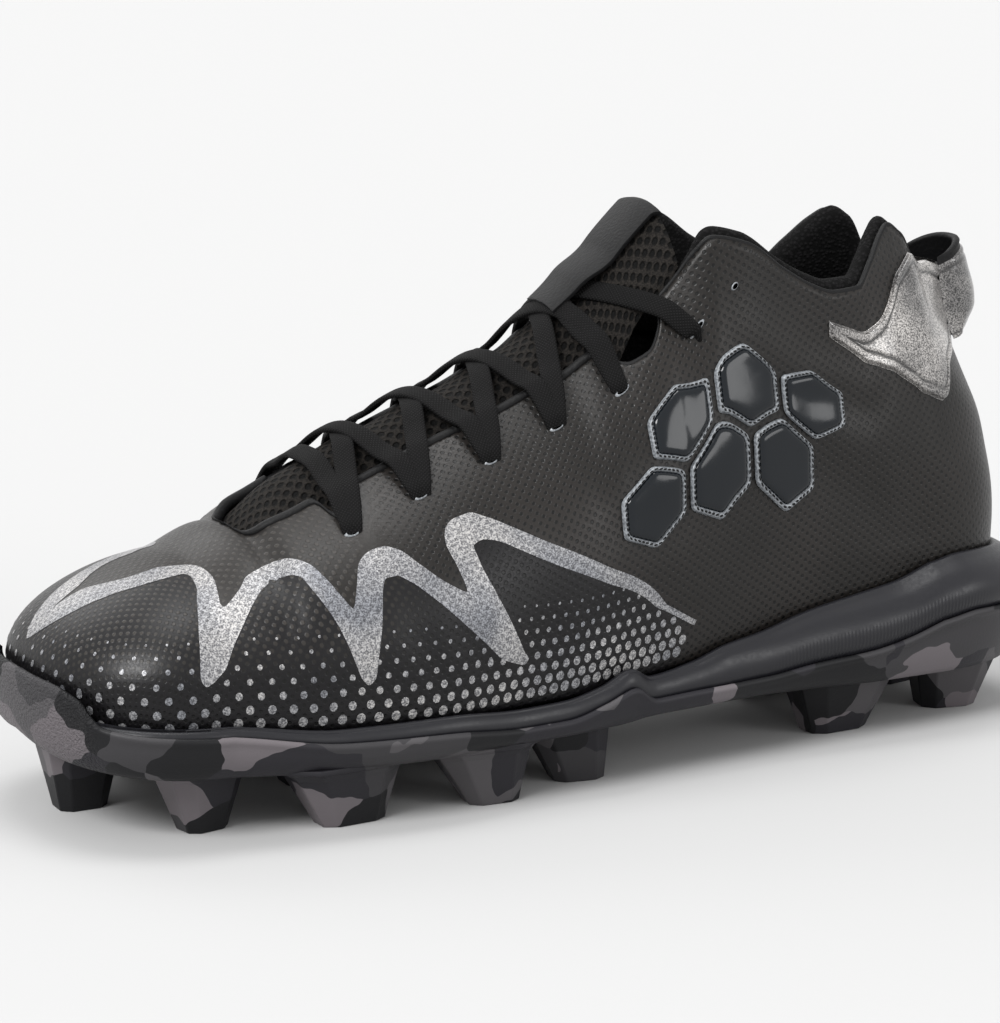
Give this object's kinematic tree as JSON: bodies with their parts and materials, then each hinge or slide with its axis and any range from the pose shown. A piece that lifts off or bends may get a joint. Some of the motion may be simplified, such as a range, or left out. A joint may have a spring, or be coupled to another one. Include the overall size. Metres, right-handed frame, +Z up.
{
  "type": "american football cleat",
  "caption": "Left mid-cut field shoe with a hollow padded upper, lace closure and a moulded rubber sole with fixed studs for grip on grass.",
  "frame": {"origin": "middle of the footprint on the ground under the stud tips", "axes": "+X towards the heel, so the toe points to -X; +Y towards the inner side of the foot, so the outer side faces -Y; +Z up"},
  "size_m": [0.3056, 0.1064, 0.152],
  "materials": {
    "outsole_rubber": "moulded studded rubber in soft patches of grey",
    "midsole_foam": "black foam with a semi-gloss skin",
    "lining_textile": "black knitted lining over soft foam",
    "upper_synthetic": "charcoal coated synthetic with a fine embossed dot grid",
    "tongue_mesh": "coarse black spacer mesh",
    "webbing": "flat black woven and coated tape",
    "gloss_film": "glossy blue-black film in six-sided pads with a grey stitched rim",
    "silver_film": "speckled silver reflective film",
    "lace_cord": "flat woven black lace"
  },
  "bodies": {
    "root": {"outsole": "outsole_rubber", "midsole": "midsole_foam", "insole": "lining_textile", "upper": "upper_synthetic", "tongue": "tongue_mesh", "tongue_band": "webbing", "collar_lining": "lining_textile", "throat_binding": "webbing", "badge_lateral": "gloss_film", "badge_medial": "gloss_film", "heel_panel": "silver_film", "pull_loop": "webbing", "laces": "lace_cord"}
  },
  "joints": []
}
